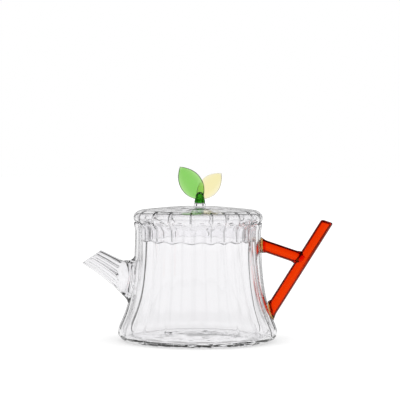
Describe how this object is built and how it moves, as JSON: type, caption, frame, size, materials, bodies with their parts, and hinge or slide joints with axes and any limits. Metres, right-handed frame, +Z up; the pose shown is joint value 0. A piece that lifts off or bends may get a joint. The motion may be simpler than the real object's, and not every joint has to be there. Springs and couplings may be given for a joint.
{
  "type": "glass teapot",
  "caption": "Clear fluted glass teapot with flared base, fluted spout, forked orange glass branch handle and lift-off lid with a green and straw glass leaf knob.",
  "frame": {"origin": "centre of the foot ring, on the table that the pot stands on", "axes": "+Z up along the vessel's axis; +X from the spout towards the handle, so the spout points along -X; +Y completes the right-handed frame, away from the side that the green leaf faces"},
  "size_m": [0.2133, 0.1354, 0.1476],
  "materials": {
    "clear_glass": "clear blown borosilicate glass, optic fluted, fire polished",
    "orange_glass": "transparent orange-red glass tube, fire polished",
    "amber_glass": "clear glass bead stained amber by the handle's glass, fire polished",
    "green_glass": "transparent light green glass, pressed flat and fire polished",
    "deep_green_glass": "transparent deep green solid glass, fire polished",
    "straw_glass": "transparent pale straw glass, pressed flat and fire polished"
  },
  "bodies": {
    "pot": {"vessel": "clear_glass", "spout_socket": "clear_glass", "spout_tube": "clear_glass", "handle_bar": "orange_glass", "handle_branch": "orange_glass", "handle_lower_bead": "amber_glass", "handle_upper_bead": "amber_glass"},
    "lid": {"lid": "clear_glass", "knob_collar": "clear_glass", "knob_stem": "deep_green_glass", "leaf_green": "green_glass", "leaf_amber": "straw_glass"}
  },
  "joints": [
    {"name": "lid_lift", "type": "slide", "parent": "pot", "child": "lid", "axis": [0, 0, 1], "range_m": [0, 0.06]}
  ]
}
